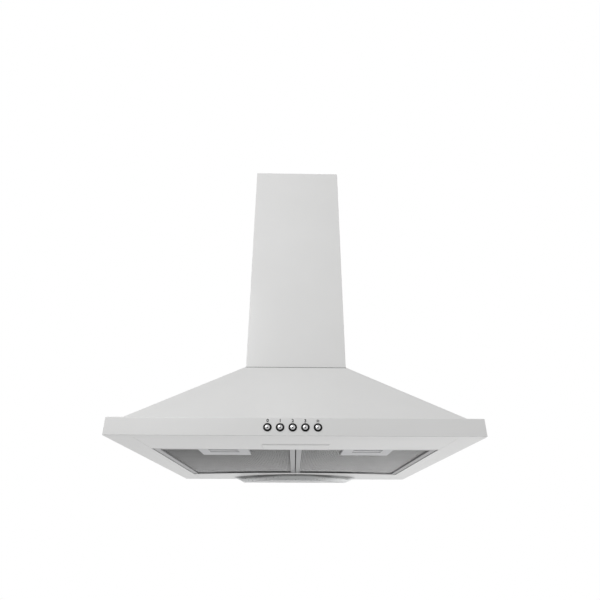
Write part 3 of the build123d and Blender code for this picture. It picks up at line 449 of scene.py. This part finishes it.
def strand_rows(x_low, x_high, y_low, y_high, z, settings, flip):
    """Rows of expanded-metal strands.

    Strand k runs along X as a triangle wave: y = y_k +- row/2 * tri(2x / cell), the sign changing from
    row to row, so neighbouring strands meet at the points of the diamonds. The flat section is tilted,
    rising where the wave climbs, as in stretched sheet.
    """
    tilt_share = 0.8
    gap_share = 0.2
    rows = max(2, int((y_high - y_low) / settings.row))
    steps = max(4, 2 * int((x_high - x_low) / settings.cell))
    x = np.linspace(x_low, x_high, steps + 1)[None, :, None]
    middle = np.linspace(y_low, y_high, rows)[:, None, None]
    wave = np.where(np.arange(steps + 1) % 2 == 0, -1.0, 1.0)[None, :, None]
    sign = np.where((np.arange(rows) + flip) % 2 == 0, 1.0, -1.0)[:, None, None]
    reach = (y_high - y_low) / (rows - 1) / 2
    half = settings.strand / 2
    thick = settings.strand * STRAND_DEPTH / 2
    across = np.array((-half, half, half, -half))[None, None, :]
    up = np.array((-thick, -thick, thick, thick))[None, None, :]
    tilt = sign * wave * half * tilt_share
    y = middle + sign * wave * (reach - half * gap_share) + across
    height = z + up + tilt * np.sign(across)
    points = np.stack(np.broadcast_arrays(x, y, height), -1).reshape(-1, 3)
    return points, tube_faces(rows, steps + 1, 4)


def lathe(profile, centre, axis, segments):
    """A surface of revolution.

    The profile's points (distance along the axis, radius) are carried round it: point = centre + a * axis
    + r * (cos t * side + sin t * up), for t from 0 to a full turn.
    """
    profile = np.asarray(profile, dtype=float)
    axis = np.asarray(axis, dtype=float)
    side = np.array((1.0, 0.0, 0.0)) if abs(axis[0]) < 0.5 else np.array((0.0, 1.0, 0.0))
    up = np.cross(axis, side)
    turn = np.linspace(0, TAU, segments, endpoint=False)[:, None, None]
    ring = np.cos(turn) * side + np.sin(turn) * up
    points = np.asarray(centre) + profile[None, :, :1] * axis + profile[None, :, 1:] * ring
    count = len(profile)
    start = np.arange(segments)[:, None] * count
    following = (np.arange(segments)[:, None] + 1) % segments * count
    station = np.arange(count - 1)[None, :]
    faces = np.stack((start + station, start + station + 1, following + station + 1, following + station), -1)
    return points.reshape(-1, 3), faces.reshape(-1, 4)


def weld(piece):
    """Merges the points that meet at poles and seams, turns all faces outward and keeps real edges sharp."""
    sharp_angle = math.radians(35.0)
    form = bmesh.new()
    form.from_mesh(piece.data)
    bmesh.ops.remove_doubles(form, verts=form.verts, dist=1e-7)
    bmesh.ops.dissolve_degenerate(form, edges=form.edges, dist=1e-8)
    bmesh.ops.recalc_face_normals(form, faces=form.faces)
    for edge in form.edges:
        edge.smooth = edge.calc_face_angle(0.0) < sharp_angle
    form.to_mesh(piece.data)
    form.free()
    piece.data.update()
    return piece


def dome_profile(radius, height, steps):
    """A spherical cap as (distance from its top, radius).

    The sphere's radius R follows from the cap, R = (radius^2 + height^2) / (2 height), and the distance
    from the top is R - sqrt(R^2 - r^2).
    """
    ball = (radius**2 + height**2) / (2 * height)
    r = np.linspace(0.0, radius, steps)
    return np.column_stack((ball - np.sqrt(ball**2 - r**2), r))


def bead(name, path, section, material):
    """A section of (outward, up) points carried along a level path of (x, y, z) points, with mitred corners.

    At each corner the outward direction is the sum of the outward directions of the two runs, divided by
    one plus their scalar product, so that the bead keeps its width through the corner.
    """
    path = np.asarray(path, dtype=float)
    run = np.diff(path, axis=0)
    run /= np.linalg.norm(run, axis=1)[:, None]
    out = np.column_stack((run[:, 1], -run[:, 0], np.zeros(len(run))))
    before = np.vstack((out[:1], out))
    after = np.vstack((out, out[-1:]))
    mitre = (before + after) / (1.0 + np.sum(before * after, axis=1))[:, None]
    up = np.array((0.0, 0.0, 1.0))
    points = path[:, None, :] + section[None, :, :1] * mitre[:, None, :] + section[None, :, 1:] * up
    return weld(mesh_object(name, points.reshape(-1, 3), tube_faces(1, len(path), len(section)), material))


def finish_piece(piece, body, slot, *nodes):
    """Lets a new piece ride on its body and stand for CAD nodes; its slot is not used."""
    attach(piece, body)
    if nodes:
        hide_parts(*nodes)


# ---------------------------------------------------------------- operators
class PaintSheet(bpy.types.Operator):
    """Coat the canopy, its underside panels and the chimney with white enamel"""

    bl_idname = "hood.paint_sheet"
    bl_label = "Paint the sheet"
    bl_options = {"REGISTER", "UNDO"}

    def execute(self, context):
        dress(
            enamel(context.scene.hood_enamel),
            "canopy_shell", "underside_front_panel", "underside_rear_panel",
            "switch_cover", "chimney_lower", "chimney_upper",
        )
        self.foot_shadow_strip()
        return {"FINISHED"}

    def foot_shadow_strip(self):
        """A dark strip round the foot of the chimney, on the top of the canopy: painted shadow for the groove
        there.

        A four-cornered section runs along the left side, the front and the right side of the chimney.
        """
        below_top = 1.6 * MM
        gap = 0.05 * MM
        section = np.array(((0.0, 0.0), (1.4, 0.0), (1.0, 1.9), (0.0, 2.3))) * MM
        low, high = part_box("chimney_lower")
        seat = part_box("canopy_shell")[1].z - below_top
        path = (
            (low.x - gap, high.y, seat), (low.x - gap, low.y - gap, seat),
            (high.x + gap, low.y - gap, seat), (high.x + gap, high.y, seat),
        )
        # a dark strip that paints the shadow in the groove at the chimney's foot
        shadow_strip = moulded("shadow_strip_plastic", (0.09, 0.09, 0.092), 0.6)
        finish_piece(bead("chimney_foot_shadow_strip", path, section, shadow_strip), "hood", "collar_plastic")


class FinishInside(bpy.types.Operator):
    """Finish the zinc sheet, the blower, the duct collar and the electrical pieces"""

    bl_idname = "hood.finish_inside"
    bl_label = "Finish the inside"
    bl_options = {"REGISTER", "UNDO"}

    def execute(self, context):
        dress(zinc(), "back_panel", "chimney_bracket", "motor_bracket", "lamp_tray", "switch_strap")
        dress(
            moulded("blower_plastic", (0.075, 0.075, 0.08), 0.5),
            "blower_housing_left", "blower_housing_right", "inlet_ring",
        )
        dress(moulded("fan_plastic", (0.16, 0.16, 0.17), 0.42), "fan_wheel", "fan_blades")
        dress(moulded("collar_plastic", (0.035, 0.035, 0.038), 0.45), "duct_collar", "cable_gland")
        dress(moulded("flap_plastic", (0.10, 0.10, 0.105), 0.5), "flap_front", "flap_rear")
        dress(cast("motor_alloy", (0.50, 0.50, 0.51), 0.45), "motor_body")
        dress(brushed("can_alloy", (0.62, 0.62, 0.63), 0.32, (900.0, 30.0, 900.0)), "capacitor")
        dress(
            brushed("bright_steel", (0.66, 0.66, 0.67), 0.25, (40.0, 1500.0, 1500.0)),
            "motor_shaft", "flap_pin", "blower_screws",
        )
        dress(moulded("box_plastic", (0.66, 0.66, 0.65), 0.48), "junction_box", "junction_lid")
        dress(
            moulded("terminal_plastic", (0.80, 0.79, 0.74), 0.35, Transmission_Weight=0.1),
            "terminal_block",
        )
        return {"FINISHED"}


class BuildFilters(bpy.types.Operator):
    """Weave the expanded-metal nets and finish the filter rims, handles and sliders"""

    bl_idname = "hood.build_filters"
    bl_label = "Build the filters"
    bl_options = {"REGISTER", "UNDO"}

    def execute(self, context):
        settings = context.scene.hood_filter
        dress(
            brushed("rim_alloy", (0.60, 0.60, 0.605), 0.36, (60.0, 900.0, 900.0)),
            "filter_rim_left", "filter_rim_right",
        )
        grey = moulded("handle_plastic", (0.56, 0.565, 0.575), 0.45)
        dress(grey, "handle_cup_left", "handle_cup_right")
        pale = moulded("slider_plastic", (0.74, 0.745, 0.75), 0.4)
        dress(pale, "latch_slider_left", "latch_slider_right")
        alloy = net_alloy(settings)
        for side in ("left", "right"):
            self.net(side, settings, alloy)
        return {"FINISHED"}

    def net(self, side, settings, alloy):
        """The lower and the upper net of one filter, each in three areas that leave the handle free."""
        low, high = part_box(f"filter_mesh_{side}")
        cup_low, cup_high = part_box(f"handle_cup_{side}")
        depth = settings.strand * STRAND_DEPTH
        spare = settings.strand
        areas = (
            (low.x, high.x, cup_high.y + spare, high.y),
            (low.x, cup_low.x - spare, low.y, cup_high.y + spare),
            (cup_high.x + spare, high.x, low.y, cup_high.y + spare),
        )
        points, faces = joined(
            strand_rows(x_low, x_high, y_low + spare, y_high - spare, z, settings, flip)
            for z, flip in ((low.z + depth, 0), (high.z - depth, 1))
            for x_low, x_high, y_low, y_high in areas
        )
        piece = mesh_object(f"filter_net_{side}", points, faces, alloy)
        finish_piece(piece, f"filter_{side}", "mesh_alloy", f"filter_mesh_{side}")


class FitLamps(bpy.types.Operator):
    """Finish the lamp lens, the lamps and their holders"""

    bl_idname = "hood.fit_lamps"
    bl_label = "Fit the lamps"
    bl_options = {"REGISTER", "UNDO"}

    def execute(self, context):
        dress(opal_lens(context.scene.hood_lamp), "lamp_lens")
        self.bulbs(frosted_bulb())
        dress(brushed("cap_metal", (0.72, 0.72, 0.73), 0.22, (900.0, 60.0, 60.0)), "lamp_caps")
        dress(moulded("ceramic", (0.84, 0.83, 0.80), 0.22), "lamp_holders")
        return {"FINISHED"}

    def bulbs(self, glass):
        """Two candle-shaped bulbs, turned round the lamps' axis.

        The radius swells from the neck to the belly as half a cosine wave, stays, and closes over the
        nose as a quarter of an ellipse. The wave is quickened, so that it ends before the nose begins.
        """
        neck, nose, length = 7.0 * MM, 18.0 * MM, 58.0 * MM
        quickened = 1.15
        body_steps, nose_steps, segments = 24, 16, 48
        low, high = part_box("lamp_bulbs")
        belly = (high.z - low.z) / 2
        swell = np.linspace(0.0, 1.0, body_steps)
        wave = 0.5 - 0.5 * np.cos(np.pi * np.minimum(1.0, swell * quickened))
        body = np.column_stack((swell * (length - nose), neck + (belly - neck) * wave))
        turn = np.linspace(0.0, np.pi / 2, nose_steps)[1:]
        end = np.column_stack((length - nose + nose * np.sin(turn), belly * np.cos(turn)))
        profile = np.vstack(((0.0, 0.0), body, end))
        y, z = (low.y + high.y) / 2, (low.z + high.z) / 2
        points, faces = joined(
            lathe(profile, (side * high.x, y, z), (-side, 0.0, 0.0), segments) for side in (-1.0, 1.0)
        )
        piece = weld(mesh_object("lamp_glass", points, faces, glass, smooth=True))
        finish_piece(piece, "hood", "bulb_glass", "lamp_bulbs")


class FitControls(bpy.types.Operator):
    """Finish the push buttons and print the generic signs above them"""

    bl_idname = "hood.fit_controls"
    bl_label = "Fit the controls"
    bl_options = {"REGISTER", "UNDO"}

    def execute(self, context):
        black = moulded("black_plastic", (0.006, 0.006, 0.0065), 0.35, Specular_IOR_Level=0.15)
        dress(black, "button_bezels", "switch_body")
        chrome = plated()
        for number in range(1, BUTTON_COUNT + 1):
            self.cap(number, chrome, black)
        settings = context.scene.hood_signs
        ink = printed(settings)
        for number in range(1, BUTTON_COUNT):
            self.numeral(settings, number, ink)
        self.lamp_sign(settings, ink)
        return {"FINISHED"}

    def cap(self, number, chrome, black):
        """A push button: a chromed dome in a black collar, on its stem.

        The dome is a spherical cap with a shallow dimple, depth * exp(-(r / width)^2), at its middle. The
        collar, the back and the stem follow as straight runs of the same turned profile.
        """
        dome_height, chrome_radius = 1.6 * MM, 3.9 * MM
        dimple_depth, dimple_width = 0.04 * MM, 0.7 * MM
        stem_radius, stem_length = 3.0 * MM, 26.0 * MM
        dome_steps, segments = 40, 64
        low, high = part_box(f"button_{number}")
        radius = (high.z - low.z) / 2
        dome = dome_profile(radius, dome_height, dome_steps)
        dome[:, 0] += dimple_depth * np.exp(-((dome[:, 1] / dimple_width) ** 2))
        length = high.y - low.y
        back = length - stem_length
        collar = ((back, radius), (back, stem_radius), (length, stem_radius), (length, 0.0))
        profile = np.vstack((dome, collar))
        middle = ((low.x + high.x) / 2, low.y, (low.z + high.z) / 2)
        points, faces = lathe(profile, middle, (0.0, 1.0, 0.0), segments)
        piece = mesh_object(f"push_button_{number}", points, faces, chrome, smooth=True)
        piece.data.materials.append(black)
        station = np.tile(np.arange(len(profile) - 1), segments)
        bright = (profile[station + 1, 1] <= chrome_radius) & (station < dome_steps - 1)
        piece.data.polygons.foreach_set("material_index", (~bright).astype(np.int32))
        finish_piece(weld(piece), f"button_{number}", "button_chrome", f"button_{number}")

    def spot(self, settings, number):
        """The middle of the sign above a button, in front of the skirt."""
        low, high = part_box(f"button_{number}")
        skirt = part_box("canopy_shell")[0].y
        return (low.x + high.x) / 2, skirt - INK_STAND, (low.z + high.z) / 2 + settings.rise

    def numeral(self, settings, number, ink):
        """The numbers 0 to 3, printed as thin ink."""
        letter_size = 1.35
        x, y, z = self.spot(settings, number)
        curve = bpy.data.curves.new(f"sign_{number}", "FONT")
        curve.body = str(number - 1)
        curve.size = settings.height * letter_size
        curve.align_x = "CENTER"
        curve.align_y = "CENTER"
        curve.offset = settings.weight
        holder = new_object("sign_holder", curve)
        bpy.context.view_layer.update()
        mesh = bpy.data.meshes.new_from_object(holder)
        bpy.data.objects.remove(holder)
        bpy.data.curves.remove(curve)
        flat = np.empty(len(mesh.vertices) * 3)
        mesh.vertices.foreach_get("co", flat)
        flat = flat.reshape(-1, 3)
        upright = np.column_stack((flat[:, 0] + x, np.full(len(flat), y), flat[:, 1] + z))
        mesh.vertices.foreach_set("co", upright.ravel())
        mesh.name = f"sign_{number}"
        mesh.materials.clear()
        mesh.materials.append(ink)
        mesh.update()
        finish_piece(new_object(f"sign_{number}", mesh), "hood", "black_plastic")

    def lamp_sign(self, settings, ink):
        """A ring with eight short rays, a plain sign for light.

        Both are flat bands in polar form: the ring lies between two radii all the way round, and each ray
        between two radii over a small angle.
        """
        ray_count = 8
        half_ray = 0.16
        # radii as shares of half the sign's height
        ring_inner, ring_outer = 0.26, 0.60
        ray_inner, ray_outer = 0.74, 1.06
        ring_steps, ray_steps = 48, 3
        x, y, z = self.spot(settings, BUTTON_COUNT)
        unit = settings.height / 2

        def band(start, end, inner, outer, steps):
            """Points and faces of one flat band from start to end, clockwise from the top."""
            turn = np.linspace(start, end, steps)
            radius = np.array((inner * unit, outer * unit))[:, None]
            across, up = x + radius * np.sin(turn), z + radius * np.cos(turn)
            points = np.stack((across, np.full((2, steps), y), up), -1).reshape(-1, 3)
            station = np.arange(steps - 1)
            return points, np.stack((station, station + steps, station + steps + 1, station + 1), -1)

        bands = [band(0.0, TAU, ring_inner, ring_outer, ring_steps)]
        for index in range(ray_count):
            middle = TAU * index / ray_count
            bands.append(band(middle - half_ray, middle + half_ray, ray_inner, ray_outer, ray_steps))
        points, faces = joined(bands)
        piece = mesh_object("sign_light", points, faces, ink)
        finish_piece(piece, "hood", "black_plastic")


class SetStage(bpy.types.Operator):
    """Lay the pale floor, light it softly and place the camera"""

    bl_idname = "hood.set_stage"
    bl_label = "Set the stage"
    bl_options = {"REGISTER", "UNDO"}

    def execute(self, context):
        settings = context.scene.hood_stage
        self.floor(settings)
        self.room(context.scene, settings)
        self.lights(settings)
        self.camera(context.scene, settings)
        return {"FINISHED"}

    def floor(self, settings):
        """A wide pale plane well below the hood."""
        reach = 4.5
        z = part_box("canopy_shell")[0].z - settings.floor_drop
        corners = np.array(((-reach, -reach, z), (reach, -reach, z), (reach, reach, z), (-reach, reach, z)))
        pale = Finish("pale_floor", (0.86, 0.86, 0.86), 0.7)
        pale.tint(pale.noise(3.0, detail=2.0), dark=0.98, light=1.0)
        self.white_to_the_eye(pale.nodes, pale.links, pale.shader.outputs[0], "Material")
        mesh_object("floor", corners, np.array(((0, 1, 2, 3),)), pale.material)

    def white_to_the_eye(self, nodes, links, lit, kind):
        """Shows plain white where the eye looks straight at the stage; all other rays meet its lit shader."""
        white = nodes.new("ShaderNodeEmission" if kind == "Material" else "ShaderNodeBackground")
        white.inputs["Color"].default_value = (1.0, 1.0, 1.0, 1.0)
        rays = nodes.new("ShaderNodeLightPath")
        mix = nodes.new("ShaderNodeMixShader")
        links.new(rays.outputs["Is Camera Ray"], mix.inputs[0])
        links.new(lit, mix.inputs[1])
        links.new(white.outputs[0], mix.inputs[2])
        output = nodes.get(f"{kind} Output") or nodes.new("ShaderNodeOutputWorld")
        links.new(mix.outputs[0], output.inputs["Surface"])

    def room(self, scene, settings):
        """A white room, softer overhead, with one dark patch straight ahead, which bright metal mirrors."""
        patch_middle = (0.0, -0.990, -0.139)
        patch_rim, patch_core = math.radians(27), math.radians(18)
        patch_light = 0.01
        overhead_share = 0.78
        world = bpy.data.worlds.new("white_room")
        world.use_nodes = True
        nodes, links = world.node_tree.nodes, world.node_tree.links
        nodes.clear()
        toward = nodes.new("ShaderNodeTexCoord")
        ahead = nodes.new("ShaderNodeVectorMath")
        ahead.operation = "DOT_PRODUCT"
        ahead.inputs[1].default_value = patch_middle
        links.new(toward.outputs["Generated"], ahead.inputs[0])
        patch = nodes.new("ShaderNodeMapRange")
        patch.inputs["From Min"].default_value = math.cos(patch_rim)
        patch.inputs["From Max"].default_value = math.cos(patch_core)
        patch.inputs["To Min"].default_value = settings.room_light
        patch.inputs["To Max"].default_value = patch_light
        links.new(ahead.outputs["Value"], patch.inputs["Value"])
        axes = nodes.new("ShaderNodeSeparateXYZ")
        links.new(toward.outputs["Generated"], axes.inputs[0])
        above = nodes.new("ShaderNodeMapRange")
        above.inputs["To Min"].default_value = 1.0
        above.inputs["To Max"].default_value = overhead_share
        links.new(axes.outputs["Z"], above.inputs["Value"])
        both = nodes.new("ShaderNodeMath")
        both.operation = "MULTIPLY"
        links.new(patch.outputs["Result"], both.inputs[0])
        links.new(above.outputs["Result"], both.inputs[1])
        lit = nodes.new("ShaderNodeBackground")
        links.new(both.outputs[0], lit.inputs["Strength"])
        self.white_to_the_eye(nodes, links, lit.outputs[0], "World")
        scene.world = world
        scene.view_settings.view_transform = "Standard"

    def lights(self, settings):
        """Three soft lights: upper left of the front, below at the right, and a faint one at the rear."""
        rear_power = settings.under_power * 0.08
        # name, place, the point that it faces, side of its square, power
        lamps = (
            ("front_light", (-0.7, -1.5, 0.75), (0.0, -0.2, 0.45), 0.9, settings.front_power),
            ("under_light", (1.1, -0.12, -0.8), (0.05, -0.25, 0.0), 0.8, settings.under_power),
            ("rear_light", (-0.6, -0.02, -0.7), (-0.1, -0.1, -0.15), 0.4, rear_power),
        )
        for name, place, target, size, power in lamps:
            light = bpy.data.lights.new(name, "AREA")
            light.shape = "SQUARE"
            light.size = size
            light.energy = power
            holder = new_object(name, light)
            holder.location = place
            aim = np.array(target) - np.array(place)
            flat = math.hypot(aim[0], aim[1])
            holder.rotation_euler = (math.atan2(flat, -aim[2]), 0.0, math.atan2(-aim[0], aim[1]))

    def camera(self, scene, settings):
        """The photograph's camera: close below the hood, tilted up, with its frame shifted."""
        aside, distance, below = -0.00299, 1.0824, 0.1417
        tilt, roll, turn = math.radians(90 + 21.25), math.radians(-0.09), math.radians(-0.90)
        skirt_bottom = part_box("canopy_shell")[0].z
        lens = bpy.data.cameras.new("camera")
        lens.lens = settings.focal_length
        lens.sensor_width = 36.0
        lens.shift_y = 0.1421
        lens.clip_start = 0.01
        holder = new_object("camera", lens)
        holder.location = (aside, -distance, skirt_bottom - below)
        holder.rotation_mode = "XYZ"
        holder.rotation_euler = (tilt, roll, turn)
        scene.camera = holder


STEPS = (PaintSheet, FinishInside, BuildFilters, FitLamps, FitControls, SetStage)


class HoodPanel(bpy.types.Panel):
    """Lists the steps and their settings"""

    bl_idname = "VIEW3D_PT_range_hood"
    bl_label = "Range hood"
    bl_space_type = "VIEW_3D"
    bl_region_type = "UI"
    bl_category = "Range hood"

    def draw(self, context):
        for name, group in SETTINGS.items():
            box = self.layout.box()
            settings = getattr(context.scene, name)
            for key in group.__annotations__:
                box.prop(settings, key)
        for step in STEPS:
            self.layout.operator(step.bl_idname)


def register():
    for group in SETTINGS.values():
        bpy.utils.register_class(group)
    for name, group in SETTINGS.items():
        setattr(bpy.types.Scene, name, bpy.props.PointerProperty(type=group))
    for step in STEPS:
        bpy.utils.register_class(step)
    bpy.utils.register_class(HoodPanel)


def unregister():
    bpy.utils.unregister_class(HoodPanel)
    for step in reversed(STEPS):
        bpy.utils.unregister_class(step)
    for name in SETTINGS:
        delattr(bpy.types.Scene, name)
    for group in reversed(list(SETTINGS.values())):
        bpy.utils.unregister_class(group)


def main():
    register()
    bpy.ops.hood.paint_sheet()
    bpy.ops.hood.finish_inside()
    bpy.ops.hood.build_filters()
    bpy.ops.hood.fit_lamps()
    bpy.ops.hood.fit_controls()
    bpy.ops.hood.set_stage()


if __name__ == "__main__":
    main()
